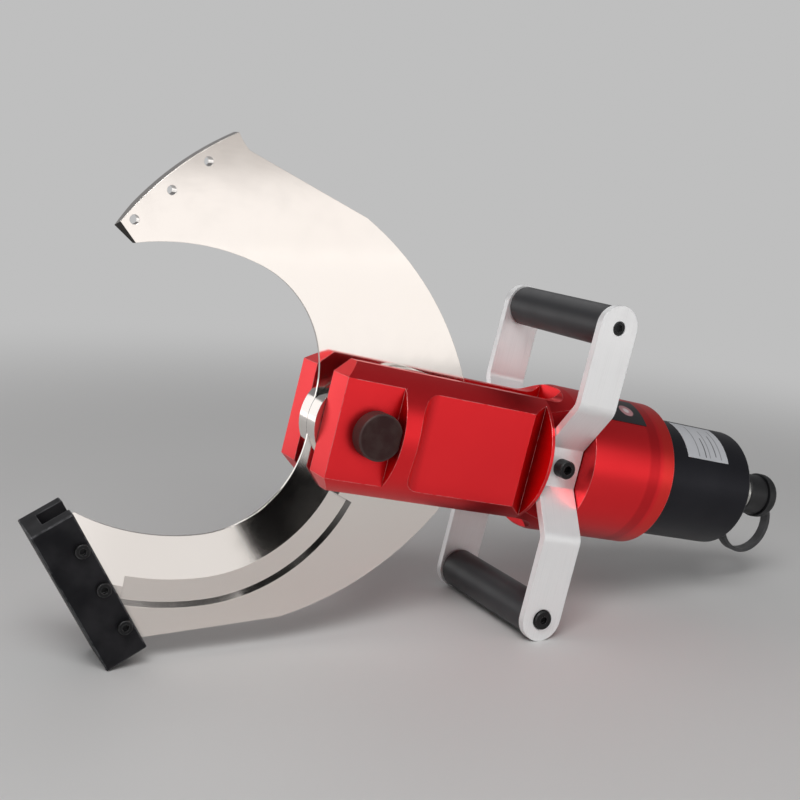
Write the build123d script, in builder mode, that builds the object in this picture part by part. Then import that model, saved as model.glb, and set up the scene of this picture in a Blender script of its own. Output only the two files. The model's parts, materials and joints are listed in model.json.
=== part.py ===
"""Separable hydraulic cable-cutter head: two crescent blades on one pin, a red milled yoke
with its cylinder behind, a two-strap carrying handle and a capped hydraulic coupler.

Everything is modelled in the tool's own frame: origin on the blade pin, +X along the tool
towards the hydraulic coupler, +Y along the pin, +Z up through the upper blade.  Before it is
written, the tool is laid down as it stands on a bench: on the lower corner of the guide block
and on the two lower strap ends.
"""

from build123d import *
from math import asin, atan2, cos, degrees, hypot, radians, sin
import os

os.makedirs("parts", exist_ok=True)

# ---------------------------------------------------------------- driving dimensions (mm)
# blades
blade_layer = 11.9              # thickness of one blade
blade_gap = 0.3                 # air between the two blades
hub_r = 30.7                    # round hub about the pin
throat_r = 71.5                 # main throat arc
throat_centre = (-100.0, 14.5)
nose_r = 142.5                  # flatter arc that carries the throat on to the nose
throat_join_deg = 77.4          # where the two throat arcs meet, seen from their centres
outer_r = 205.0                 # back of the crescent
outer_centre = (-102.0, -61.0)
end_r = 195.0                   # end arc, about the pin
nose_deg = 25.8                 # end arc from here ...
ear_deg = 53.3                  # ... to here, above the -X axis
lower_ear_deg = 55.4            # the lower blade's ear shows past the end of the guide block
nose_corner_x = -160.5
ear_waist = (-111.6, 150.9)     # hollow flank of the ear
ear_root = (-107.7, 147.9)      # a straight stretch runs from here ...
flat_end_x = -22.8              # ... to here, on the back arc
tail_z = 10.0                   # the back arc runs down to here behind the pin
edge_land = 1.8                 # thickness left along the cutting edge
bevel_run = 30.7                # width of the ground bevel
recess_width = 42.0             # shallow milled band along the throat
recess_depth = 2.0
recess_slope = 3.4              # run of its sloped outer wall
tongue_cut = 2.9                # both blades thin down by this at their outer ends
tongue_r = 178.0                # the upper blade is thin outside this radius about the pin
nose_top = (-172.7, 89.1)       # sloped nose face: its edge on the contact side ...
nose_foot = (-162.0, 79.8)
nose_far = (-168.8, 79.5)       # ... and a point of it on the outer side
tapped_r = 2.8
tapped_pitch = 27.6
upper_hole_line = 186.8         # tapped row of the upper blade from the pin
upper_hole_shift = 5.5          # its middle hole, from the end's centre line towards the throat
guide_screw_line = 184.3        # guide block's screw row from the pin
guide_screw_shift = -2.0

# motion
close_deg = 54.0                # each blade
stroke = 41.0                   # piston
cam_open_x = 78.0               # crosshead from the blade pin, open
cam_slot_w = 14.6
cam_wall = 4.0

# guide block
end_axis_deg = 39.3             # its centre line below the -X axis, seen from the pin
block_reach = 205.3             # outer long face from the pin
block_width = 26.7
block_length = 97.0
block_shift = 1.1
block_near_y = -19.0
block_far_y = 17.6
block_slot_near_y = -9.15
block_slot_far_y = 9.5
block_back_wall = 9.7
block_edge = 0.6

# yoke
fork_front_x = -26.6
fork_r = 46.5
fork_half_h = 41.5
fork_half_t = 34.0
fork_chamfer = 9.6
fork_slot_w = 24.7
slot_end_x = 146.0
flat_back_x = 134.0             # top and bottom flats run back to here
band_front_x = 14.0
band_back_x = 40.0
band_runout_r = 15.0
pad_back_x = 115.0
groove_back_x = 126.5           # the pad falls away to here, against the rib in front of the strap
groove_y = 27.0
taper_front_x = 129.0           # the fork's round back widens to the shoulder between these
taper_back_x = 150.0
seat_y = 31.0
seat_half_w = 15.6
shoulder_r = 51.0
shoulder_runout_r = 13.0
body_back_x = 232.0

# cylinder
barrel_r = 42.5
barrel_back_x = 315.0
barrel_wall = 18.0
spigot_r = 42.0
spigot_front_x = 182.0
bore_r = 34.0
spring_room_r = 36.0
head_wall_x = 162.0
guide_bush_r = 18.0
rod_r = 14.0
rod_bore_r = 22.0
rod_bore_front_x = 25.0
piston_len = 24.0
piston_back_x = 291.5

# pin and handle
pin_r = 13.0
pin_head_r = 15.0
pin_head_h = 10.0
keeper_t = 4.0
keeper_screw_r = 4.0
bush_wall = 2.5
strap_x = 144.5
strap_w = 30.0
strap_t = 5.0
strap_out_y = 57.8              # outer face of the straps beside the grips
grip_z = 99.5
grip_r = 13.8
bolt_r = 4.0                    # handle bolts and grip screws
bolt_thread = 12.0
fit = 0.05                      # radial clearance of running and seated fits
axial_gap = 0.3                 # air between faces that stay apart
clear_reach = 60.0              # cutters reach this far from the tool axis

blade_face = blade_gap / 2
blade_back = blade_face + blade_layer


def side_plane(y):
    """Sketch plane parallel to the blades at depth y: local x is X, local y is Z."""
    return Plane.XZ.offset(-y)


def axis_plane(x):
    """Sketch plane across the tool at station x: local x is Y, local y is Z."""
    return Plane.YZ.offset(x)


def polar(radius, angle_deg, centre=(0.0, 0.0)):
    """Point at an angle above the -X axis, in the blade plane."""
    angle = radians(angle_deg)
    return (centre[0] - radius * cos(angle), centre[1] + radius * sin(angle))


def above(radius, x, centre):
    """Point of a circle's upper half at x, in the blade plane."""
    return (x, centre[1] + (radius ** 2 - (x - centre[0]) ** 2) ** 0.5)


def turned(x_start, *profile):
    """Solid of revolution about the tool axis from (length, radius) steps."""
    with BuildPart() as piece:
        with BuildSketch(Plane.XZ):
            with BuildLine():
                points = [(x_start, 0.0)]
                x = x_start
                for length, radius in profile:
                    points += [(x, radius), (x + length, radius)]
                    x += length
                Polyline(*points, (x, 0.0), close=True)
            make_face()
        revolve(axis=Axis.X)
    return piece.part


def ring(x_start, length, outer, inner):
    """Plain ring about the tool axis."""
    with BuildPart() as piece:
        with BuildSketch(axis_plane(x_start)):
            Circle(outer)
            Circle(inner, mode=Mode.SUBTRACT)
        extrude(amount=length)
    return piece.part


def cap_screw(plane, shank_r, shank_len, head_radius, head_h, socket_af):
    """Socket-head cap screw seated on a plane, its head on the normal's side."""
    with BuildPart() as screw:
        with BuildSketch(plane):
            Circle(head_radius)
        extrude(amount=head_h)
        rim = screw.edges().filter_by(GeomType.CIRCLE).sort_by(Axis(plane.origin, plane.z_dir))[-1]
        chamfer(rim, 0.08 * head_radius)
        with BuildSketch(plane):
            Circle(shank_r)
        extrude(amount=-shank_len)
        with BuildSketch(plane.offset(head_h)):
            RegularPolygon(socket_af / 2, 6, major_radius=False)
        extrude(amount=-0.6 * head_h, mode=Mode.SUBTRACT)
    return screw.part


# ---------------------------------------------------------------- blades
throat_join = polar(throat_r, 180.0 - throat_join_deg, throat_centre)
nose_centre = polar(-nose_r, 180.0 - throat_join_deg, throat_join)
nose_corner = above(nose_r, nose_corner_x, nose_centre)
nose_crown = polar(nose_r, 87.0, nose_centre)
nose_round = (-168.6, 79.6)
throat_root_deg = -2.4          # the throat arc dies into the hub here
throat_root = polar(throat_r, 180.0 - throat_root_deg, throat_centre)
flat_end = above(outer_r, flat_end_x, outer_centre)
back_mid = above(outer_r, 30.0, outer_centre)
tail_tip = (outer_centre[0] + (outer_r ** 2 - (tail_z - outer_centre[1]) ** 2) ** 0.5, tail_z)
tail_foot = (cam_open_x, -6.0)
hub_foot = (0.0, -0.5 * hub_r)


def cam_point(share):
    """Crosshead centre in the upper blade's frame after a share of the stroke."""
    radius = cam_open_x - share * stroke
    turn = radians(share * close_deg)
    return (radius * cos(turn), -radius * sin(turn))


# two arcs follow the curve that keeps blade angle and piston stroke in one fixed ratio
cam_arcs = [ThreePointArc(cam_point(0), cam_point(0.25), cam_point(0.5)),
            ThreePointArc(cam_point(0.5), cam_point(0.75), cam_point(1))]


def throat_cut(depth_profile, centre, radius, start_deg, end_deg):
    """Ring-shaped cutter about a throat arc; depth_profile gives (run from edge, y) points."""
    start = radians(start_deg)
    section = Plane(origin=(centre[0], 0.0, centre[1]), x_dir=(cos(start), 0.0, sin(start)),
                    z_dir=(-sin(start), 0.0, cos(start)))
    with BuildPart() as cutter:
        with BuildSketch(section):
            with BuildLine():
                Polyline(*[(radius + run, y) for run, y in depth_profile], close=True)
            make_face()
        revolve(axis=Axis((centre[0], 0.0, centre[1]), (0, -1, 0)), revolution_arc=end_deg - start_deg)
    return cutter.part


def crescent(ear):
    """Blade blank with its ground bevel and milled recess; ear is the angle of its ear's tip."""
    clear = blade_back + 1.0
    recess_floor = blade_back - recess_depth
    recess_start = 0.6 * bevel_run
    bevel = [(-2.0, blade_face + edge_land), (0.0, blade_face + edge_land),
             (bevel_run, blade_back), (bevel_run, clear), (-2.0, clear)]
    wall_run = recess_slope / recess_depth
    recess = [(recess_start, recess_floor), (recess_width - recess_slope, recess_floor),
              (recess_width + wall_run, clear), (recess_start, clear)]
    with BuildPart() as blank:
        with BuildSketch(side_plane(blade_back)):
            with BuildLine():
                ThreePointArc(throat_root, polar(-throat_r, -35.0, throat_centre), throat_join)
                ThreePointArc(throat_join, nose_crown, nose_corner)
                ThreePointArc(nose_corner, nose_round, polar(end_r, nose_deg))
                ThreePointArc(polar(end_r, nose_deg), polar(end_r, (nose_deg + ear) / 2), polar(end_r, ear))
                ThreePointArc(polar(end_r, ear), ear_waist, ear_root)
                Line(ear_root, flat_end)
                ThreePointArc(flat_end, back_mid, tail_tip)
                Polyline(tail_tip, tail_foot, hub_foot, throat_root)
            make_face()
        extrude(amount=blade_layer)
    return (blank.part
            - throat_cut(bevel, throat_centre, throat_r, -12.0, throat_join_deg)
            - throat_cut(bevel, nose_centre, nose_r, throat_join_deg, 116.0)
            - throat_cut(recess, throat_centre, throat_r, 17.5, throat_join_deg)
            - throat_cut(recess, nose_centre, nose_r, throat_join_deg, 94.0))


def blade(ear, hole_line, hole_shift, round_tongue):
    """A blade in the upper one's place.  The lower one is turned over about the tool axis."""
    along = Vector(nose_foot[0] - nose_top[0], 0, nose_foot[1] - nose_top[1])
    down = Vector(nose_far[0] - nose_top[0], blade_layer - tongue_cut, nose_far[1] - nose_top[1])
    nose_face = Plane(origin=(nose_top[0], blade_face, nose_top[1]), x_dir=along, z_dir=down.cross(along))
    end_deg = radians(end_axis_deg)
    end_plane = Plane(origin=(0, blade_back, 0), x_dir=(-cos(end_deg), 0, sin(end_deg)), z_dir=(0, -1, 0))
    with BuildPart() as made:
        add(crescent(ear))
        with BuildSketch(side_plane(blade_back)):
            Circle(hub_r)
            for arc in cam_arcs:
                SlotArc(arc, cam_slot_w + 2 * cam_wall)
        extrude(amount=blade_layer)
        with BuildSketch(side_plane(blade_back)):
            Circle(pin_r + bush_wall + fit)
            for arc in cam_arcs:
                SlotArc(arc, cam_slot_w)
        extrude(amount=blade_layer, mode=Mode.SUBTRACT)
        with BuildSketch(nose_face):
            Rectangle(6 * blade_layer, 6 * blade_layer)
        extrude(amount=2 * blade_layer, mode=Mode.SUBTRACT)
        # thin tongue that runs inside the guide block
        with BuildSketch(end_plane):
            if round_tongue:
                Circle(1.2 * end_r)
                Circle(tongue_r, mode=Mode.SUBTRACT)
            else:
                with Locations((block_reach, 0)):
                    Rectangle(2 * block_width, 1.5 * block_length)
        extrude(amount=tongue_cut, mode=Mode.SUBTRACT)
        with BuildSketch(end_plane):
            with Locations(*[(hole_line, hole_shift + step * tapped_pitch) for step in (-1, 0, 1)]):
                Circle(tapped_r)
        extrude(amount=blade_layer, mode=Mode.SUBTRACT)
    return made.part


finished = {}                   # node name -> solid, in the tool's frame


def keep(name, piece):
    """File a finished piece under its node name."""
    piece.label = name
    finished[name] = piece


turn_over = Rotation(180, 0, 0)  # about the tool axis: upper blade's place to the lower's
keep("upper_blade", blade(ear_deg, upper_hole_line, upper_hole_shift, round_tongue=True))
keep("lower_blade", turn_over * blade(lower_ear_deg, guide_screw_line, guide_screw_shift, round_tongue=False))

with BuildPart() as bush:
    with BuildSketch(side_plane(blade_back)):
        Circle(pin_r + bush_wall)
        Circle(pin_r + fit, mode=Mode.SUBTRACT)
    extrude(amount=blade_layer)
keep("upper_blade_bush", bush.part)
keep("lower_blade_bush", turn_over * bush.part)

# ---------------------------------------------------------------- guide block
# local x points away from the blade pin, local y runs along the block towards the throat
block_dir = (-cos(radians(end_axis_deg)), 0.0, -sin(radians(end_axis_deg)))
block_plane = Plane(origin=(0, 0, 0), x_dir=block_dir, z_dir=(0, 1, 0))
block_mid_r = block_reach - block_width / 2
block_along = -block_shift

with BuildPart() as guide_block:
    with BuildSketch(block_plane.offset(block_near_y)):
        with Locations((block_mid_r, block_along)):
            Rectangle(block_width, block_length)
    extrude(amount=block_far_y - block_near_y)
    chamfer(guide_block.edges(), block_edge)
    slot_depth = block_width - block_back_wall
    with BuildSketch(block_plane.offset(block_slot_near_y)):
        with Locations((block_reach - block_width + slot_depth / 2, block_along)):
            Rectangle(slot_depth, 1.2 * block_length)
    extrude(amount=block_slot_far_y - block_slot_near_y, mode=Mode.SUBTRACT)
    screw_spots = [(guide_screw_line, guide_screw_shift + step * tapped_pitch) for step in (-1, 0, 1)]
    with BuildSketch(block_plane.offset(block_near_y)):
        with Locations(*screw_spots):
            Circle(tapped_r + fit)
    extrude(amount=block_slot_near_y - block_near_y, mode=Mode.SUBTRACT)
keep("guide_block", guide_block.part)

with BuildPart() as guide_screws:
    for across, along in screw_spots:
        seat = Plane(origin=block_plane.from_local_coords((across, along, block_near_y)), z_dir=(0, -1, 0))
        add(cap_screw(seat, tapped_r - fit, 17.0, 4.4, 3.6, 4.0))
keep("guide_block_screws", guide_screws.part)

# ---------------------------------------------------------------- yoke
def side_slab(start_x, end_x, level, side):
    """Adds a rectangle between two stations, from a level outwards on one side, to the open sketch."""
    with Locations(((start_x + end_x) / 2, side * (level + clear_reach) / 2)):
        Rectangle(end_x - start_x, clear_reach - level)


body_edge = 1.6
with BuildPart() as yoke:
    with BuildSketch(Plane.XZ):
        with BuildLine():
            Polyline((fork_front_x, 0), (fork_front_x, fork_r), (taper_front_x, fork_r),
                     (taper_back_x, shoulder_r), (body_back_x - body_edge, shoulder_r),
                     (body_back_x, shoulder_r - body_edge), (body_back_x, 0), close=True)
        make_face()
    revolve(axis=Axis.X)
    # top and bottom flats, each with the round run-out of the cutter at its back end
    for side in (1, -1):
        with BuildSketch(side_plane(clear_reach)):
            side_slab(fork_front_x - 1.0, flat_back_x, fork_half_h, side)
            with Locations((flat_back_x, side * (fork_half_h + shoulder_runout_r))):
                Circle(shoulder_runout_r)
        extrude(amount=2 * clear_reach, mode=Mode.SUBTRACT)
    # side flats: pin pad, then the round band, the long pad, groove, rib and strap seat
    for side in (1, -1):
        with BuildSketch(Plane.XY.offset(-clear_reach)):
            side_slab(fork_front_x - 1.0, band_front_x, fork_half_t, side)
            side_slab(band_back_x, pad_back_x, fork_half_t, side)
            side_slab(strap_x - seat_half_w, strap_x + seat_half_w, seat_y, side)
            with Locations((band_back_x, side * (fork_half_t + band_runout_r))):
                Circle(band_runout_r)
            with BuildLine():
                Polyline((pad_back_x, side * fork_half_t), (groove_back_x, side * groove_y),
                         (groove_back_x, side * clear_reach), (pad_back_x, side * clear_reach), close=True)
            make_face()
        extrude(amount=2 * clear_reach, mode=Mode.SUBTRACT)
    chamfer(yoke.edges().filter_by(Axis.Y).group_by(Axis.X)[0], fork_chamfer)
    # blade slot, rod bore, guide-bush bore, spring room and barrel seat
    with BuildSketch(side_plane(fork_slot_w / 2)):
        with Locations((slot_end_x, 0)):
            Rectangle(2 * slot_end_x, 2 * clear_reach, align=(Align.MAX, Align.CENTER))
    extrude(amount=fork_slot_w, mode=Mode.SUBTRACT)
    for start, end, radius in ((rod_bore_front_x, slot_end_x, rod_bore_r),
                               (slot_end_x - 1.0, head_wall_x, guide_bush_r),
                               (head_wall_x, spigot_front_x, spring_room_r),
                               (spigot_front_x, body_back_x, spigot_r + fit)):
        with BuildSketch(axis_plane(start)):
            Circle(radius)
        extrude(amount=end - start, mode=Mode.SUBTRACT)
    with BuildSketch(side_plane(clear_reach)):
        Circle(pin_r + fit)
    extrude(amount=2 * clear_reach, mode=Mode.SUBTRACT)
    for side in (1, -1):
        with BuildSketch(side_plane(side * seat_y)):
            with Locations((strap_x, 0)):
                Circle(bolt_r + fit)
        extrude(amount=side * bolt_thread, mode=Mode.SUBTRACT)
keep("yoke", yoke.part)

# ---------------------------------------------------------------- blade pin
with BuildPart() as main_pin:
    with BuildSketch(side_plane(fork_half_t)):
        Circle(pin_r)
    extrude(amount=2 * fork_half_t)
    with BuildSketch(side_plane(-fork_half_t)):
        Circle(pin_head_r)
        with Locations((band_front_x - fit, 0)):
            Rectangle(clear_reach, clear_reach, align=(Align.MIN, Align.CENTER), mode=Mode.SUBTRACT)
    extrude(amount=pin_head_h)
    chamfer(main_pin.faces().sort_by(Axis.Y)[0].edges(), 0.6)
    with BuildSketch(side_plane(fork_half_t)):
        Circle(keeper_screw_r + fit)
    extrude(amount=18.0, mode=Mode.SUBTRACT)
keep("main_pin", main_pin.part)

with BuildPart() as pin_keeper:
    with BuildSketch(side_plane(fork_half_t)):
        Circle(pin_head_r + 1.0)
        with Locations((band_front_x - fit, 0)):
            Rectangle(clear_reach, clear_reach, align=(Align.MIN, Align.CENTER), mode=Mode.SUBTRACT)
        Circle(keeper_screw_r + fit, mode=Mode.SUBTRACT)
    extrude(amount=-keeper_t)
keep("pin_keeper", pin_keeper.part)
keeper_seat = Plane(origin=(0, fork_half_t + keeper_t, 0), z_dir=(0, 1, 0))
keep("pin_keeper_screw", cap_screw(keeper_seat, keeper_screw_r, 20.0, 6.5, 6.0, 6.0))

# ---------------------------------------------------------------- crosshead and rod
fork_nose = 10.9
fork_slot_back = 32.0
fork_base = 20.0
crosshead_r = 6.0
roller_r = 7.0
roller_play = 0.1
stub_r = 10.0                   # rod's front end, screwed into the fork
stub_len = 17.0
rod_tail_r = 11.0
nut_r = 16.0
nut_seat = 8.0                  # depth of the nut's pocket in the piston
slot_reach = fork_nose + fork_slot_back
rod_fork_back_x = cam_open_x + fork_slot_back + fork_base
with BuildPart() as rod_fork:
    with BuildSketch(axis_plane(cam_open_x - fork_nose)):
        Circle(rod_bore_r - 2 * fit)
    extrude(amount=slot_reach + fork_base)
    with BuildSketch(side_plane(fork_slot_w / 2)):
        with Locations((cam_open_x + fork_slot_back, 0)):
            Rectangle(2 * slot_reach, clear_reach, align=(Align.MAX, Align.CENTER))
    extrude(amount=fork_slot_w, mode=Mode.SUBTRACT)
    with BuildSketch(side_plane(clear_reach)):
        with Locations((cam_open_x, 0)):
            Circle(crosshead_r + fit)
    extrude(amount=2 * clear_reach, mode=Mode.SUBTRACT)
    with BuildSketch(axis_plane(rod_fork_back_x)):
        Circle(stub_r + fit)
    extrude(amount=-(stub_len + 1.0), mode=Mode.SUBTRACT)
keep("rod_fork", rod_fork.part)

with BuildPart() as crosshead_pin:
    with BuildSketch(side_plane(20.0)):
        with Locations((cam_open_x, 0)):
            Circle(crosshead_r)
    extrude(amount=40.0)
keep("crosshead_pin", crosshead_pin.part)

with BuildPart() as cam_rollers:
    for low_y in (blade_face + roller_play, roller_play - blade_back):
        with BuildSketch(side_plane(low_y)):
            with Locations((cam_open_x, 0)):
                Circle(roller_r)
                Circle(crosshead_r + fit, mode=Mode.SUBTRACT)
        extrude(amount=2 * roller_play - blade_layer)
keep("cam_rollers", cam_rollers.part)

piston_front_x = piston_back_x - piston_len
keep("piston_rod", turned(rod_fork_back_x - stub_len, (stub_len, stub_r),
                          (piston_front_x - rod_fork_back_x, rod_r), (piston_len - nut_seat, rod_tail_r)))
keep("piston_nut", turned(piston_back_x - nut_seat, (nut_seat - 1.0, nut_r)))

groove_w = 6.0
wear_groove = (3.0, 2.5)        # station behind the piston's front face, depth
seal_groove = (13.0, 5.0)
ring_play = 0.02
with BuildPart() as piston:
    with BuildSketch(axis_plane(piston_front_x)):
        Circle(bore_r - fit)
        Circle(rod_tail_r + fit, mode=Mode.SUBTRACT)
    extrude(amount=piston_len)
    with BuildSketch(axis_plane(piston_back_x - nut_seat)):
        Circle(nut_r + fit)
    extrude(amount=nut_seat, mode=Mode.SUBTRACT)
    for station, depth in (wear_groove, seal_groove):
        with BuildSketch(axis_plane(piston_front_x + station)):
            Circle(bore_r + 1.0)
            Circle(bore_r - depth, mode=Mode.SUBTRACT)
        extrude(amount=groove_w, mode=Mode.SUBTRACT)
keep("piston", piston.part)
for name, (station, depth) in (("piston_wear_ring", wear_groove), ("piston_seal", seal_groove)):
    keep(name, ring(piston_front_x + station + 0.1, groove_w - 0.2, bore_r - ring_play, bore_r - depth + fit))

with BuildPart() as rod_bush:
    with BuildSketch(axis_plane(slot_end_x + 0.5)):
        Circle(guide_bush_r - ring_play)
        Circle(rod_r + fit, mode=Mode.SUBTRACT)
    extrude(amount=head_wall_x - slot_end_x - 0.5)
keep("rod_guide_bush", rod_bush.part)

spring_wire_r = 3.2
spring_r = 25.0
spring_turns = 8
spring_front_x = head_wall_x + spring_wire_r + axial_gap
spring_back_x = piston_front_x - spring_wire_r - axial_gap
with BuildPart() as return_spring:
    with BuildLine():
        coil = Helix(pitch=(spring_back_x - spring_front_x) / spring_turns,
                     height=spring_back_x - spring_front_x, radius=spring_r,
                     center=(spring_front_x, 0, 0), direction=(1, 0, 0))
    with BuildSketch(Plane(origin=coil @ 0, z_dir=coil % 0)):
        Circle(spring_wire_r)
    sweep(path=coil, is_frenet=True)
keep("return_spring", return_spring.part)

# ---------------------------------------------------------------- barrel
port_r = 10.0                   # nipple's thread and its seat in the barrel
barrel_floor_x = barrel_back_x - barrel_wall
with BuildPart() as barrel:
    with BuildSketch(axis_plane(spigot_front_x)):
        Circle(spigot_r)
    extrude(amount=body_back_x + axial_gap - spigot_front_x)
    with BuildSketch(axis_plane(body_back_x + axial_gap)):
        Circle(barrel_r)
    extrude(amount=barrel_back_x - body_back_x - axial_gap)
    fillet(barrel.edges().filter_by(GeomType.CIRCLE).sort_by(Axis.X)[-1], 3.0)
    with BuildSketch(axis_plane(spigot_front_x)):
        Circle(bore_r)
    extrude(amount=barrel_floor_x - spigot_front_x, mode=Mode.SUBTRACT)
    with BuildSketch(axis_plane(barrel_floor_x)):
        Circle(port_r + fit)
    extrude(amount=barrel_wall, mode=Mode.SUBTRACT)
keep("cylinder_barrel", barrel.part)

# ---------------------------------------------------------------- coupler and cap
thread_len = 15.0
washer_t = 2.0
neck_r = 11.5
collar_r = 15.0
collar_t = 2.2
nose_plug_r = 11.0
plug_len = 19.0
hex_half_af = 13.5
oil_way_r = 3.0
oil_way_len = 60.0
socket_r = 6.0
socket_depth = 16.0
thread_x = barrel_back_x - thread_len
hex_front_x = barrel_back_x + washer_t
neck_front_x = hex_front_x + 11.0
collar_x = barrel_back_x + 26.7
plug_x = collar_x + collar_t
with BuildPart() as nipple:
    for start, end, radius in ((thread_x, hex_front_x, port_r), (neck_front_x, collar_x, neck_r),
                               (collar_x, plug_x, collar_r), (plug_x, plug_x + plug_len, nose_plug_r)):
        with BuildSketch(axis_plane(start)):
            Circle(radius)
        extrude(amount=end - start)
    with BuildSketch(axis_plane(hex_front_x)):
        RegularPolygon(hex_half_af, 6, major_radius=False)
    extrude(amount=neck_front_x - hex_front_x)
    with BuildSketch(axis_plane(plug_x + plug_len)):
        Circle(socket_r)
    extrude(amount=-socket_depth, mode=Mode.SUBTRACT)
    with BuildSketch(axis_plane(thread_x)):
        Circle(oil_way_r)
    extrude(amount=oil_way_len, mode=Mode.SUBTRACT)
keep("coupler_nipple", nipple.part)
keep("coupler_washer", ring(barrel_back_x + 0.02, washer_t - 0.04, 14.5, port_r + fit))
keep("coupler_poppet", turned(plug_x + 3.5, (3.0, socket_r - 0.1), (10.0, 2.2)))

cap_x = plug_x + 0.5
cap_len = 28.5
cap_r = 15.4
cap_rim_r = 16.9
cap_bore_r = nose_plug_r + 0.1
cap_rim_x = cap_x + 18.3
cap_back_x = cap_x + cap_len
cap_floor_x = cap_back_x - 7.0
undercut = 1.2                  # groove in front of the cap's rim
knob_r = 3.0
knob_x = cap_back_x + 5.5
with BuildPart() as dust_cap:
    with BuildSketch(Plane.XZ):
        with BuildLine():
            Polyline((cap_x, cap_bore_r), (cap_x, cap_r - 0.6), (cap_x + 1.0, cap_r),
                     (cap_rim_x - 1.0, cap_r), (cap_rim_x - 1.0, cap_r - undercut),
                     (cap_rim_x, cap_r - undercut), (cap_rim_x, cap_rim_r), (cap_back_x, cap_rim_r),
                     (cap_back_x, knob_r), (knob_x, knob_r), (knob_x, 0), (cap_floor_x, 0),
                     (cap_floor_x, cap_bore_r), close=True)
        make_face()
    revolve(axis=Axis.X)
    rim = dust_cap.edges().filter_by(GeomType.CIRCLE).group_by(SortBy.RADIUS)[-1].sort_by(Axis.X)[-1]
    fillet(rim, 6.0)
keep("dust_cap", dust_cap.part)

# rubber strap: a ring round the nipple's neck, a hanging loop and an eye on the cap's knob
tether_w = 7.0
tether_t = 3.0
tether_ring_r = 14.6
eye_r = 7.0
neck_x = collar_x - axial_gap - tether_w / 2
eye_x = cap_back_x + 1.0
loop_low_z = -44.5
loop_path = ThreePointArc((neck_x, 1.0 - tether_ring_r), ((neck_x + eye_x) / 2, loop_low_z),
                          (eye_x + tether_t / 2, 1.0 - eye_r))
with BuildPart() as cap_tether:
    with BuildSketch(axis_plane(neck_x - tether_w / 2)):
        Circle(tether_ring_r)
        Circle(neck_r + fit, mode=Mode.SUBTRACT)
    extrude(amount=tether_w)
    with BuildSketch(side_plane(tether_w / 2)):
        SlotArc(loop_path, tether_t)
    extrude(amount=tether_w)
    with BuildSketch(axis_plane(eye_x)):
        Circle(eye_r)
        Circle(knob_r + 0.2, mode=Mode.SUBTRACT)
    extrude(amount=tether_t)
keep("cap_tether", cap_tether.part)

# ---------------------------------------------------------------- handle
bend_in_z = 15.0
bend_out_z = 45.0
bend_r = 6.0
strap_in_y = strap_out_y - strap_t
tip_z = grip_z + strap_w / 2
sink_depth = 2.5
grip_heads = ((grip_z, 4.4), (-grip_z, 6.5))     # the upper grip's screws have slim heads
with BuildPart() as strap:
    with BuildSketch(axis_plane(strap_x - strap_w / 2)):
        with BuildLine():
            FilletPolyline((-strap_in_y, -tip_z), (-strap_in_y, -bend_out_z), (-seat_y, -bend_in_z),
                           (-seat_y, bend_in_z), (-strap_in_y, bend_out_z), (-strap_in_y, tip_z),
                           radius=bend_r)
            offset(amount=strap_t, side=Side.LEFT)
        make_face()
    extrude(amount=strap_w)
    tips = strap.edges().filter_by(Axis.Y).group_by(Axis.Z)
    fillet(tips[0] + tips[-1], strap_w / 2 - 0.1)
    with BuildSketch(side_plane(-clear_reach)):
        with Locations((strap_x, 0), (strap_x, grip_z), (strap_x, -grip_z)):
            Circle(bolt_r + fit)
    extrude(amount=-clear_reach, mode=Mode.SUBTRACT)
    with BuildSketch(side_plane(-strap_out_y)):
        for z, head_r in grip_heads:
            with Locations((strap_x, z)):
                Circle(head_r + 0.5)
    extrude(amount=-sink_depth, mode=Mode.SUBTRACT)
keep("left_handle_strap", strap.part)
keep("right_handle_strap", mirror(strap.part, about=Plane.XZ))

tube_r = 8.0
sleeve_half = strap_in_y - 0.2
for name, z in (("upper", grip_z), ("lower", -grip_z)):
    with BuildPart() as grip:
        with BuildSketch(side_plane(sleeve_half)):
            with Locations((strap_x, z)):
                Circle(grip_r)
                Circle(tube_r, mode=Mode.SUBTRACT)
        extrude(amount=2 * sleeve_half)
        rims = grip.edges().filter_by(GeomType.CIRCLE).group_by(SortBy.RADIUS)[-1]
        fillet(rims, 1.5)
    keep(name + "_grip", grip.part)
    with BuildPart() as grip_tube:
        with BuildSketch(side_plane(strap_in_y)):
            with Locations((strap_x, z)):
                Circle(tube_r)
                Circle(bolt_r + fit, mode=Mode.SUBTRACT)
        extrude(amount=2 * strap_in_y)
    keep(name + "_grip_tube", grip_tube.part)

with BuildPart() as grip_screws:
    for side in (1, -1):
        for z, head_r in grip_heads:
            seat = Plane(origin=(strap_x, side * (strap_out_y - sink_depth), z), z_dir=(0, side, 0))
            add(cap_screw(seat, bolt_r, 22.0, head_r, sink_depth if z > 0 else 4.5, 5.0))
keep("grip_screws", grip_screws.part)

with BuildPart() as handle_bolts:
    for side in (1, -1):
        seat = Plane(origin=(strap_x, side * (seat_y + strap_t), 0), z_dir=(0, side, 0))
        add(cap_screw(seat, bolt_r, 16.0, 6.2, 8.0, 6.0))
keep("handle_bolts", handle_bolts.part)

# ---------------------------------------------------------------- plates
plate_t = 0.3
badge_span = (178.0, 209.5)     # stations along the tool axis
badge_arc = (49.0, 80.0)        # degrees above the -Y side
rating_span = (252.8, 292.0)
rating_arc = (33.5, 82.0)


def wrap_plate(span, arc, radius):
    """Thin plate wrapped on a cylinder about the tool axis."""
    start_x, end_x = span
    low_deg, high_deg = arc
    low = radians(low_deg)
    section = Plane(origin=(0, 0, 0), x_dir=(1, 0, 0), z_dir=(0, -sin(low), -cos(low)))
    with BuildPart() as plate:
        with BuildSketch(section):
            with Locations(((start_x + end_x) / 2, radius + plate_t / 2)):
                Rectangle(end_x - start_x, plate_t)
        revolve(axis=Axis.X, revolution_arc=low_deg - high_deg)
    return plate.part


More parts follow.
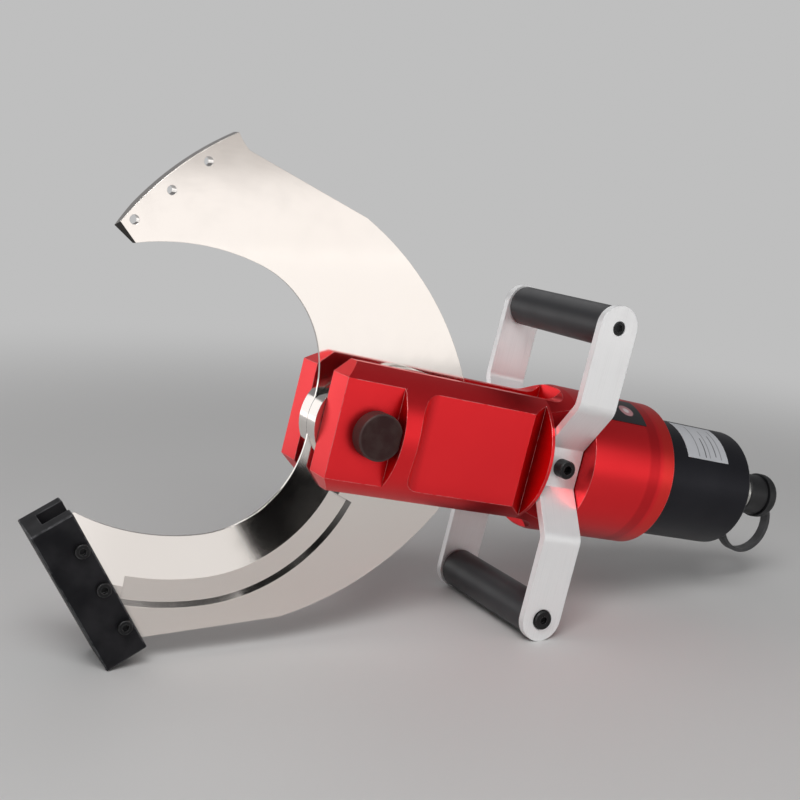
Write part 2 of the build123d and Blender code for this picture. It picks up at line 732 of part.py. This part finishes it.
keep("badge_plate", wrap_plate(badge_span, badge_arc, shoulder_r + fit))
keep("rating_plate", wrap_plate(rating_span, rating_arc, barrel_r + fit))

# ---------------------------------------------------------------- standing pose and export
# the tool rests on the guide block's outer lower corner and on the rounded lower strap ends
block_end = block_length / 2 + block_shift
axis_rad = radians(end_axis_deg)
corner_x = -block_reach * cos(axis_rad) + block_end * sin(axis_rad)
corner_z = -block_reach * sin(axis_rad) - block_end * cos(axis_rad)
run = strap_x - corner_x
rise = -grip_z - corner_z
pitch = degrees(atan2(rise, run)) - degrees(asin(strap_w / 2 / hypot(run, rise)))
tilt = Rotation(0, pitch, 0)
tilted = {name: tilt * piece for name, piece in finished.items()}
boxes = [piece.bounding_box() for piece in tilted.values()]
low_x = min(box.min.X for box in boxes)
high_x = max(box.max.X for box in boxes)
low_z = min(box.min.Z for box in boxes)
stand = Pos(-(low_x + high_x) / 2, 0, -low_z)
for name, piece in tilted.items():
    placed = stand * piece
    placed.label = name
    export_step(placed, f"parts/{name}.step")
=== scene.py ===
"""Looks of the hydraulic cutter head: finishes, markings, floor, studio light and camera."""

import json
import math

import bpy
from mathutils import Matrix, Vector


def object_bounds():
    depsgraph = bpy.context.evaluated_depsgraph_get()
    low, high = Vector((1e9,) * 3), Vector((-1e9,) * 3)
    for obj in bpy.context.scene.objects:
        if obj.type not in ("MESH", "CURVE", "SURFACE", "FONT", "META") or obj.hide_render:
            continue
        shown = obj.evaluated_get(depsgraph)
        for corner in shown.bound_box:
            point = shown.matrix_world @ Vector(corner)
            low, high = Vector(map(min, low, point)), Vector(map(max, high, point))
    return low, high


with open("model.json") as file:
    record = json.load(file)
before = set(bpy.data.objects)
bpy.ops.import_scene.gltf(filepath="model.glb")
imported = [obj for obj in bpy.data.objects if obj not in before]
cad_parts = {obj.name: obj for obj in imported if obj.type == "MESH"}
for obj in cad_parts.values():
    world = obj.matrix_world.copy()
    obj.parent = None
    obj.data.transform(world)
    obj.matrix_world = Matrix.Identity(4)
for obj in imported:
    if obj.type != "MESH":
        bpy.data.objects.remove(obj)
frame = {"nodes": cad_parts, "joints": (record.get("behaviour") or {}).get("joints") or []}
cad_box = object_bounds()
nodes = frame["nodes"]

# The tool frame: origin on the blade pin, x along the tool towards the coupler, y along the pin.
joints = {joint["name"]: joint for joint in frame["joints"]}
PIN = Vector(joints["upper_blade_hinge"]["pos_m"])
TOOL_X = -Vector(joints["piston_slide"]["axis"]).normalized()
PITCH = math.atan2(-TOOL_X.z, TOOL_X.x)
TOOL = Matrix.Translation(PIN) @ Matrix.Rotation(PITCH, 4, "Y")


def mm(x, y, z):
    """A point given in millimetres in the tool frame, in the row frame."""
    return TOOL @ Vector((x / 1000, y / 1000, z / 1000))


# ---------------------------------------------------------------- node building
MICRON = 1e-6
RAY_SAMPLES = 4                             # of each edge or hollow lookup
COLOUR_A, COLOUR_B, COLOUR_OUT = 6, 7, 2    # the colour sockets of a mix node


class Finish:
    """A Principled material and the texture parts that the finishes share, in metres in the tool frame."""

    def __init__(self, name, base, metallic, roughness, specular=0.5):
        self.material = bpy.data.materials.new(name)
        self.material.use_nodes = True
        self.tree = self.material.node_tree
        self.shader = self.tree.nodes["Principled BSDF"]
        self.shader.inputs["Metallic"].default_value = metallic
        self.shader.inputs["Specular IOR Level"].default_value = specular
        self.colour = base
        self.rough = roughness
        self.height = None
        coordinates = self.add("ShaderNodeTexCoord")
        mapping = self.add("ShaderNodeMapping", vector_type="TEXTURE")
        mapping.inputs["Location"].default_value = PIN
        mapping.inputs["Rotation"].default_value = (0, PITCH, 0)
        self.link(coordinates.outputs["Object"], mapping.inputs["Vector"])
        self.place = mapping.outputs["Vector"]
        parts = self.add("ShaderNodeSeparateXYZ")
        self.link(self.place, parts.inputs[0])
        self.x, self.y, self.z = parts.outputs

    # ---- single nodes
    def add(self, kind, **settings):
        made = self.tree.nodes.new(kind)
        for key, value in settings.items():
            setattr(made, key, value)
        return made

    def link(self, source, target):
        """Feeds a socket from another socket, a number or a colour."""
        if isinstance(source, tuple):
            target.default_value = (*source, 1)
        elif isinstance(source, (int, float)):
            target.default_value = source
        else:
            self.tree.links.new(source, target)

    def feed(self, made, values):
        """Fills a node's first sockets and gives its first output."""
        for socket, value in zip(made.inputs, values):
            self.link(value, socket)
        return made.outputs[0]

    def math(self, operation, *values, clamp=False):
        return self.feed(self.add("ShaderNodeMath", operation=operation, use_clamp=clamp), values)

    def ramp(self, value, low, high, start=0.0, end=1.0):
        """Smoothly maps value from low..high to start..end."""
        made = self.add("ShaderNodeMapRange", interpolation_type="SMOOTHSTEP")
        return self.feed(made, (value, low, high, start, end))

    def vector(self, x, y, z):
        return self.feed(self.add("ShaderNodeCombineXYZ"), (x, y, z))

    def dot(self, first, second):
        """Dot product of a vector socket with another one or with a fixed vector."""
        made = self.add("ShaderNodeVectorMath", operation="DOT_PRODUCT")
        self.link(first, made.inputs[0])
        if isinstance(second, Vector):
            made.inputs[1].default_value = second
        else:
            self.link(second, made.inputs[1])
        return made.outputs["Value"]

    def noise(self, scale, detail, place=None):
        made = self.add("ShaderNodeTexNoise")
        made.inputs["Scale"].default_value = scale
        made.inputs["Detail"].default_value = detail
        self.link(place or self.place, made.inputs["Vector"])
        return made.outputs["Fac"]

    # ---- coordinates and marks
    def around(self, first, second):
        """Radius and angle of two coordinates about their origin."""
        squares = self.math("ADD", self.math("POWER", first, 2.0), self.math("POWER", second, 2.0))
        return self.math("SQRT", squares), self.math("ARCTAN2", second, first)

    def near_angle(self):
        """Angle about the tool's axis, from the near side upwards."""
        _, angle = self.around(self.math("MULTIPLY", self.y, -1.0), self.z)
        return angle

    def lines(self, first, second, across, along):
        """Fine parallel marks: dense across the first coordinate, long along the second."""
        dense = self.math("MULTIPLY", first, across)
        long = self.math("MULTIPLY", second, along)
        return self.noise(1.0, 4, self.vector(dense, long, 0.0))

    def rings(self, across, along):
        """Lathe marks about the tool's axis."""
        _, angle = self.around(self.y, self.z)
        return self.lines(self.x, angle, across, along)

    def edges(self, width):
        """Where the surface is within width of a sharp edge."""
        bevel = self.add("ShaderNodeBevel", samples=RAY_SAMPLES)
        bevel.inputs["Radius"].default_value = width
        geometry = self.add("ShaderNodeNewGeometry")
        agreement = self.dot(bevel.outputs[0], geometry.outputs["Normal"])
        return self.ramp(self.math("SUBTRACT", 1.0, agreement), 0.004, 0.07)

    # ---- layers of the finish
    def tint(self, share, colour):
        """Mixes another colour over what is there."""
        made = self.add("ShaderNodeMix", data_type="RGBA")
        self.link(share, made.inputs["Factor"])
        self.link(self.colour, made.inputs[COLOUR_A])
        self.link(colour, made.inputs[COLOUR_B])
        self.colour = made.outputs[COLOUR_OUT]

    def vary_rough(self, share, amount):
        """Adds share * amount to the roughness."""
        extra = self.math("MULTIPLY", share, amount)
        self.rough = self.math("ADD", self.rough, extra, clamp=True)

    def relief(self, share, microns):
        """Adds a height of share * microns to the bump."""
        extra = self.math("MULTIPLY", share, microns * MICRON)
        self.height = extra if self.height is None else self.math("ADD", self.height, extra)

    def mottle(self, colour, amount, scale, detail, low=0.35, high=0.7):
        """Patches of a second tone."""
        self.tint(self.ramp(self.noise(scale, detail), low, high, 0.0, amount), colour)

    def smudge(self, amount, scale, detail):
        """Patches of a duller surface."""
        self.vary_rough(self.noise(scale, detail), amount)

    def grain(self, microns, scale, detail):
        """Small unevenness all over."""
        self.relief(self.noise(scale, detail), microns)

    def cut(self, marks, microns, amount):
        """Tool marks, which show in the height and in the roughness."""
        self.relief(marks, microns)
        self.vary_rough(marks, amount)

    def paint_hollow_shade(self, reach, colour, amount):
        """Painted shade: darkens the colour in holes, slots and corners narrower than reach."""
        occlusion = self.add("ShaderNodeAmbientOcclusion", samples=RAY_SAMPLES)
        occlusion.inputs["Distance"].default_value = reach
        self.tint(self.ramp(occlusion.outputs["AO"], 0.25, 0.75, amount, 0.0), colour)

    def wear_and_edge_highlight(self, colour, amount, width=0.0007):
        """Rubbed edges and painted edge highlights: the colour under the finish, or a highlight colour,
        shows along corners, broken up by noise.
        """
        patchy = self.ramp(self.noise(180, 4), 0.30, 0.56)
        edge_wear_and_highlight = self.math("MULTIPLY", self.edges(width), patchy)
        self.tint(self.math("MULTIPLY", edge_wear_and_highlight, amount), colour)

    def done(self, rounding=0.0005):
        """Joins the layers to the shader, with edges that catch the light over a small radius."""
        self.link(self.colour, self.shader.inputs["Base Color"])
        self.link(self.rough, self.shader.inputs["Roughness"])
        bevel = self.add("ShaderNodeBevel", samples=RAY_SAMPLES)
        bevel.inputs["Radius"].default_value = rounding
        bump = self.add("ShaderNodeBump")
        bump.inputs["Distance"].default_value = 1.0
        bump.inputs["Strength"].default_value = 1.0
        self.link(self.height, bump.inputs["Height"])
        self.link(bevel.outputs[0], bump.inputs["Normal"])
        self.link(bump.outputs[0], self.shader.inputs["Normal"])
        return self.material


# ---------------------------------------------------------------- places that the finishes use, in metres
# a pair of numbers is a soft border, from its start to its end
TURNED_FROM = (0.134, 0.140)                # the body is milled in front of here and turned behind it
# a darker band around the turned body, just in front of its rear rim
DARK_BAND_FROM = (0.207, 0.210)
DARK_BAND_TO = (0.2165, 0.2190)
END_RING_FROM = (0.2190, 0.2225)            # the paler rim at the body's rear end
# height band over which the body is painted in shade towards its underside
UNDERSIDE_SHADE = (-0.052, -0.020)

THROAT_X, THROAT_Z = -0.100, 0.0145         # centre of the upper blade's throat; the lower one mirrors it
GROUND_EDGE_TO = (0.1015, 0.1025)           # radius at which the ground throat edge ends
NOSE_NORMAL = Vector((-0.5818, -0.4619, -0.6694))   # of the sloped face at the upper blade's nose
NOSE_OFFSET = 0.04077                       # of that face's plane from the pin
NOSE_SKIN = (0.00015, 0.0004)
NOSE_FROM = (0.05, 0.06)                    # height above which the face is looked for

PIN_HEAD_RIM = (0.0132, 0.0148)

RULE_EDGE = (0.00035, 0.0006)               # half the width of a rule on the rating plate
RULE_END = 0.02                             # fade at a rule's ends, in radians
# plain rules across the rating plate: station along the tool, start and end angle, darkness
RULES = ((0.2640, 0.62, 1.32, 0.55), (0.2705, 0.62, 1.02, 0.9), (0.2745, 0.62, 1.24, 0.5),
         (0.2805, 0.66, 1.12, 0.8), (0.2855, 0.62, 1.30, 0.5))

BADGE_X, BADGE_ANGLE, BADGE_R = 0.1965, math.radians(63), 0.0513
DISC_RIM = (0.0052, 0.0062)
DISC_CENTRE = (0.0015, 0.0034)


# ---------------------------------------------------------------- finishes
def red_anodised():
    f = Finish("red_anodised", base=(0.97, 0.036, 0.044), metallic=0.98, roughness=0.24)
    f.mottle((0.88, 0.026, 0.034), 0.35, scale=14, detail=3)
    # a darker band around the turned body
    dark_band = f.math("MULTIPLY", f.ramp(f.x, *DARK_BAND_FROM), f.ramp(f.x, *DARK_BAND_TO, 1.0, 0.0))
    f.tint(f.math("MULTIPLY", dark_band, 0.38), (0.42, 0.010, 0.016))
    # painted shade: the body darker towards its underside
    f.tint(f.ramp(f.z, *UNDERSIDE_SHADE, 0.5, 0.0), (0.42, 0.012, 0.018))
    f.tint(f.ramp(f.x, *END_RING_FROM, 0.0, 0.35), (0.95, 0.075, 0.050))
    turned = f.ramp(f.x, *TURNED_FROM)
    milling = f.math("MULTIPLY", f.lines(f.z, f.x, 2600, 30), f.math("SUBTRACT", 1.0, turned))
    turning = f.math("MULTIPLY", f.rings(3000, 1.2), turned)
    f.cut(f.math("ADD", milling, turning), 3.5, 0.12)
    f.grain(1.5, scale=6000, detail=2)
    f.smudge(0.10, scale=22, detail=4)
    # painted shade in the slot, grooves and holes of the red body
    f.paint_hollow_shade(0.022, (0.24, 0.006, 0.010), 0.75)
    # painted highlight along the edges, partly rubbed anodising: pale pink lines on the corners
    f.wear_and_edge_highlight((0.96, 0.45, 0.45), 0.8)
    return f.done()


def nickel():
    f = Finish("nickel_plate", base=(0.94, 0.885, 0.84), metallic=1.0, roughness=0.055)
    f.mottle((0.91, 0.845, 0.79), 0.5, scale=7, detail=2, low=0.3, high=0.75)
    throat_x = f.math("SUBTRACT", f.x, THROAT_X)
    throat_z = f.math("SUBTRACT", f.math("ABSOLUTE", f.z), THROAT_Z)
    radius, angle = f.around(throat_x, throat_z)
    ground_edge = f.ramp(radius, *GROUND_EDGE_TO, 1.0, 0.0)
    f.relief(f.math("MULTIPLY", f.lines(angle, radius, 420, 14), ground_edge), 3.5)
    f.cut(f.lines(radius, angle, 2400, 5), 1.2, 0.06)
    f.grain(3.0, scale=38, detail=2)
    f.vary_rough(f.ramp(f.noise(60, 5), 0.4, 0.7), 0.03)
    # the dark nose face: the points that lie in its plane
    away = f.math("ABSOLUTE", f.math("SUBTRACT", f.dot(f.place, NOSE_NORMAL), NOSE_OFFSET))
    nose = f.math("MULTIPLY", f.ramp(away, *NOSE_SKIN, 1.0, 0.0), f.ramp(f.z, *NOSE_FROM))
    f.tint(f.math("MULTIPLY", nose, 0.95), (0.020, 0.019, 0.018))
    f.vary_rough(nose, 0.25)
    # painted shade inside the holes and in the gaps between the blades
    f.paint_hollow_shade(0.005, (0.05, 0.045, 0.04), 0.92)
    return f.done(0.0004)


def black_oxide():
    f = Finish("black_oxide", base=(0.007, 0.007, 0.009), metallic=0.30, roughness=0.40, specular=0.22)
    f.mottle((0.032, 0.031, 0.034), 0.6, scale=45, detail=4)
    f.grain(8.0, scale=900, detail=3)
    f.relief(f.lines(f.x, f.z, 1500, 60), 4.0)
    f.smudge(0.22, scale=70, detail=4)
    f.wear_and_edge_highlight((0.22, 0.22, 0.23), 0.75, width=0.0009)
    return f.done(0.0007)


def pin_steel():
    f = Finish("pin_steel", base=(0.038, 0.013, 0.013), metallic=0.5, roughness=0.50, specular=0.35)
    f.mottle((0.06, 0.036, 0.032), 0.7, scale=120, detail=4)
    radius, _ = f.around(f.x, f.z)
    f.tint(f.ramp(radius, *PIN_HEAD_RIM, 0.0, 0.6), (0.12, 0.08, 0.075))
    facing = f.noise(1.0, 3, f.vector(f.math("MULTIPLY", radius, 2600), 0.0, 0.0))
    f.cut(facing, 6.0, 0.15)
    return f.done(0.0006)


def screw_steel():
    f = Finish("screw_steel", base=(0.018, 0.018, 0.019), metallic=0.7, roughness=0.36)
    f.grain(4.0, scale=1800, detail=2)
    f.smudge(0.2, scale=200, detail=3)
    f.wear_and_edge_highlight((0.20, 0.20, 0.20), 0.8, width=0.0004)
    return f.done(0.0003)


def black_anodised():
    f = Finish("black_anodised", base=(0.016, 0.016, 0.021), metallic=0.6, roughness=0.32, specular=0.35)
    f.mottle((0.024, 0.024, 0.030), 0.6, scale=25, detail=4)
    f.cut(f.rings(2800, 1.0), 3.0, 0.14)
    f.wear_and_edge_highlight((0.30, 0.30, 0.31), 0.5)
    return f.done()


def strap_aluminium():
    f = Finish("strap_aluminium", base=(0.99, 0.99, 0.993), metallic=0.52, roughness=0.30)
    f.mottle((0.93, 0.93, 0.935), 0.5, scale=30, detail=3, low=0.3)
    brushed = f.lines(f.x, f.z, 1600, 22)
    f.tint(f.ramp(brushed, 0.45, 0.75, 0.0, 0.30), (0.80, 0.80, 0.805))
    f.cut(brushed, 5.0, 0.16)
    f.grain(5.0, scale=3200, detail=2)
    f.smudge(0.12, scale=90, detail=4)
    return f.done()


def grip_rubber():
    f = Finish("grip_sleeve", base=(0.024, 0.024, 0.027), metallic=0.0, roughness=0.33, specular=0.6)
    f.mottle((0.030, 0.030, 0.033), 0.5, scale=80, detail=4, low=0.45, high=0.75)
    f.grain(10.0, scale=1400, detail=3)
    f.grain(40.0, scale=60, detail=3)
    f.smudge(0.20, scale=45, detail=4)
    return f.done(0.0008)


def cap_rubber():
    f = Finish("cap_rubber", base=(0.008, 0.008, 0.009), metallic=0.0, roughness=0.36)
    f.mottle((0.024, 0.024, 0.026), 0.5, scale=60, detail=4, low=0.45, high=0.75)
    f.grain(12.0, scale=1700, detail=3)
    f.smudge(0.2, scale=50, detail=4)
    return f.done(0.0006)


def tether_rubber():
    f = Finish("tether_rubber", base=(0.10, 0.10, 0.105), metallic=0.0, roughness=0.28)
    f.shader.inputs["Transmission Weight"].default_value = 0.55
    f.shader.inputs["IOR"].default_value = 1.35
    f.mottle((0.16, 0.16, 0.165), 0.5, scale=60, detail=4, low=0.45, high=0.75)
    f.grain(10.0, scale=700, detail=3)
    f.smudge(0.2, scale=50, detail=4)
    return f.done(0.0006)


def plain_metal(name, base, roughness, second_tone):
    f = Finish(name, base, metallic=1.0, roughness=roughness)
    f.mottle(second_tone, 0.5, scale=60, detail=4)
    f.cut(f.rings(2600, 1.5), 4.0, 0.14)
    return f.done(0.0004)


def seal_polymer():
    f = Finish("seal_polymer", base=(0.08, 0.17, 0.30), metallic=0.0, roughness=0.38)
    f.mottle((0.10, 0.21, 0.36), 0.5, scale=90, detail=3)
    f.grain(6.0, scale=900, detail=3)
    f.smudge(0.15, scale=60, detail=3)
    return f.done(0.0004)


def rating_film():
    f = Finish("rating_film", base=(0.62, 0.63, 0.66), metallic=0.25, roughness=0.30)
    f.mottle((0.54, 0.55, 0.58), 0.4, scale=60, detail=3)
    angle = f.near_angle()
    for station, start, end, ink in RULES:
        across = f.math("ABSOLUTE", f.math("SUBTRACT", f.x, station))
        line = f.ramp(across, *RULE_EDGE, 1.0, 0.0)
        after_start = f.ramp(angle, start, start + RULE_END)
        before_end = f.ramp(angle, end, end + RULE_END, 1.0, 0.0)
        rule = f.math("MULTIPLY", line, f.math("MULTIPLY", after_start, before_end))
        f.tint(f.math("MULTIPLY", rule, ink), (0.05, 0.05, 0.055))
    f.grain(20.0, scale=300, detail=2)
    f.smudge(0.12, scale=80, detail=3)
    return f.done(0.0003)


def badge_film():
    f = Finish("badge_film", base=(0.012, 0.012, 0.014), metallic=0.0, roughness=0.26)
    f.mottle((0.020, 0.020, 0.023), 0.4, scale=60, detail=3)
    across = f.math("MULTIPLY", f.math("SUBTRACT", f.near_angle(), BADGE_ANGLE), BADGE_R)
    radius, _ = f.around(f.math("SUBTRACT", f.x, BADGE_X), across)
    f.tint(f.ramp(radius, *DISC_RIM, 0.85, 0.0), (0.62, 0.30, 0.32))
    f.tint(f.ramp(radius, *DISC_CENTRE, 0.8, 0.0), (0.80, 0.74, 0.74))
    f.grain(20.0, scale=300, detail=2)
    f.smudge(0.12, scale=80, detail=3)
    return f.done(0.0003)


FINISHES = {
    "red_anodised_aluminium": red_anodised(),
    "nickel_plated_steel": nickel(),
    "black_oxide_steel": black_oxide(),
    "black_pin_steel": pin_steel(),
    "screw_steel": screw_steel(),
    "black_anodised_aluminium": black_anodised(),
    "strap_aluminium": strap_aluminium(),
    "grip_rubber": grip_rubber(),
    "cap_rubber": cap_rubber(),
    "zinc_steel": plain_metal("zinc_steel", (0.66, 0.655, 0.63), 0.22, (0.54, 0.53, 0.50)),
    "ground_steel": plain_metal("ground_steel", (0.55, 0.55, 0.56), 0.20, (0.47, 0.47, 0.48)),
    "bronze": plain_metal("bronze", (0.55, 0.36, 0.16), 0.34, (0.44, 0.28, 0.12)),
    "spring_steel": plain_metal("spring_steel", (0.30, 0.30, 0.31), 0.32, (0.22, 0.22, 0.23)),
    "seal_polymer": seal_polymer(),
    "white_label": rating_film(),
    "dark_badge": badge_film(),
}

for node in nodes.values():
    for slot in node.material_slots:
        slot.material = FINISHES[slot.material.name.split(".")[0]]

for slot in nodes["cap_tether"].material_slots:
    slot.material = tether_rubber()

# ---------------------------------------------------------------- floor, lights, camera
FLOOR_COLOUR = (0.645, 0.64, 0.635, 1)
FLOOR_ROUGHNESS = 0.62
FLOOR_HALF = 14.0
FLOOR_FADE = (0.40, 1.5)        # distances from the middle over which the floor turns into the sweep
SWEEP_COLOUR = (0.52, 0.52, 0.52, 1)

# name, place, the point it faces, width, height, radiance, colour
SOFTBOXES = (
    ("key", (-0.85, -1.15, 1.70), (0, 0, 0.1), 1.3, 1.0, 6.6, (1, 1, 1)),
    ("floor_panel", (1.00, -0.95, 0.085), (1.00, 0.0, 0.085), 2.3, 0.17, 0.52, (1.0, 0.975, 0.95)),
    ("low_panel", (1.25, -1.75, 0.2525), (1.25, 0.0, 0.2525), 2.5, 0.305, 0.54, (1.0, 0.97, 0.945)),
    ("tall_panel", (1.13, -1.80, 0.92), (1.13, 0.0, 0.92), 2.1, 0.98, 0.80, (1, 1, 1)),
    ("left_panel", (-0.95, 1.15, 0.30), (-0.1, 0.0, 0.14), 1.1, 0.6, 0.85, (1, 1, 1)),
    ("back", (0.5, 1.9, 1.5), (0, 0, 0.15), 1.6, 0.8, 0.7, (1, 1, 1)),
)

ROOM_COLOUR = (0.22, 0.22, 0.222, 1)
DARK_WALL = (0.05, -0.95, 0.32)     # direction of the studio's unlit front wall
DARK_WALL_EDGE = (0.38, 0.62)
DARK_WALL_LEVEL = 0.01

EYE = mm(-371.2, -699.4, 97.1)
AIM = mm(31.35, 0, 20.33)
CAMERA_ROLL = math.radians(4.22)
SENSOR_MM = 36.0
LENS_MM = 56.1


def soft_distance(tree, coordinates, centre, border, levels, interpolation):
    """Distance from centre, mapped from the border's two ends to the two levels."""
    place = tree.nodes.new("ShaderNodeTexCoord")
    apart = tree.nodes.new("ShaderNodeVectorMath")
    apart.operation = "DISTANCE"
    apart.inputs[1].default_value = centre
    fade = tree.nodes.new("ShaderNodeMapRange")
    fade.interpolation_type = interpolation
    fade.inputs["From Min"].default_value, fade.inputs["From Max"].default_value = border
    fade.inputs["To Min"].default_value, fade.inputs["To Max"].default_value = levels
    tree.links.new(place.outputs[coordinates], apart.inputs[0])
    tree.links.new(apart.outputs["Value"], fade.inputs["Value"])
    return fade.outputs["Result"]


def mix_to_output(tree, share, first, second, output):
    """Joins two shaders, mixed by share, to the output node."""
    mixed = tree.nodes.new("ShaderNodeMixShader")
    for source, socket in zip((share, first, second), mixed.inputs):
        tree.links.new(source, socket)
    tree.links.new(mixed.outputs[0], tree.nodes[output].inputs["Surface"])


def stage_floor():
    """A pale floor that turns into an evenly lit sweep away from the tool."""
    finish = bpy.data.materials.new("floor")
    finish.use_nodes = True
    tree = finish.node_tree
    shader = tree.nodes["Principled BSDF"]
    shader.inputs["Base Color"].default_value = FLOOR_COLOUR
    shader.inputs["Roughness"].default_value = FLOOR_ROUGHNESS
    glow = tree.nodes.new("ShaderNodeEmission")
    glow.inputs["Color"].default_value = SWEEP_COLOUR
    away = soft_distance(tree, "Object", (0, 0, 0), FLOOR_FADE, (0.0, 1.0), "SMOOTHERSTEP")
    mix_to_output(tree, away, shader.outputs[0], glow.outputs[0], "Material Output")
    corners = [(x * FLOOR_HALF, y * FLOOR_HALF, 0) for x, y in ((-1, -1), (1, -1), (1, 1), (-1, 1))]
    mesh = bpy.data.meshes.new("floor")
    mesh.from_pydata(corners, [], [(0, 1, 2, 3)])
    mesh.materials.append(finish)
    made = bpy.data.objects.new("floor", mesh)
    made.location.z = cad_box[0].z
    bpy.context.scene.collection.objects.link(made)


def softbox(name, place, aim, width, height, radiance, colour):
    """A rectangular light of even radiance, seen in reflections but not by the camera."""
    data = bpy.data.lights.new(name, "AREA")
    data.shape = "RECTANGLE"
    data.size = width
    data.size_y = height
    data.energy = radiance * math.pi * width * height
    data.color = colour
    made = bpy.data.objects.new(name, data)
    made.location = place
    made.rotation_euler = (Vector(aim) - Vector(place)).to_track_quat("-Z", "Y").to_euler()
    made.visible_camera = False
    bpy.context.scene.collection.objects.link(made)


def room():
    """A dim room with a dark front wall in reflections; the camera sees the even sweep instead."""
    world = bpy.data.worlds.new("studio")
    bpy.context.scene.world = world
    world.use_nodes = True
    tree = world.node_tree
    dim = tree.nodes["Background"]
    dim.inputs["Color"].default_value = ROOM_COLOUR
    level = soft_distance(tree, "Generated", DARK_WALL, DARK_WALL_EDGE, (DARK_WALL_LEVEL, 1.0), "SMOOTHSTEP")
    tree.links.new(level, dim.inputs["Strength"])
    sweep = tree.nodes.new("ShaderNodeBackground")
    sweep.inputs["Color"].default_value = SWEEP_COLOUR
    path = tree.nodes.new("ShaderNodeLightPath")
    mix_to_output(tree, path.outputs["Is Camera Ray"], dim.outputs[0], sweep.outputs[0], "World Output")


def main_camera():
    """The main view: from the left front, a little above the tool and rolled slightly."""
    data = bpy.data.cameras.new("camera")
    data.sensor_width = SENSOR_MM
    data.lens = LENS_MM
    data.clip_start = 0.01
    made = bpy.data.objects.new("camera", data)
    level = (AIM - EYE).to_track_quat("-Z", "Y").to_matrix().to_4x4()
    made.matrix_world = Matrix.Translation(EYE) @ level @ Matrix.Rotation(CAMERA_ROLL, 4, "Z")
    bpy.context.scene.collection.objects.link(made)
    bpy.context.scene.camera = made


stage_floor()
for panel in SOFTBOXES:
    softbox(*panel)
room()
main_camera()
bpy.context.scene.view_settings.view_transform = "Standard"
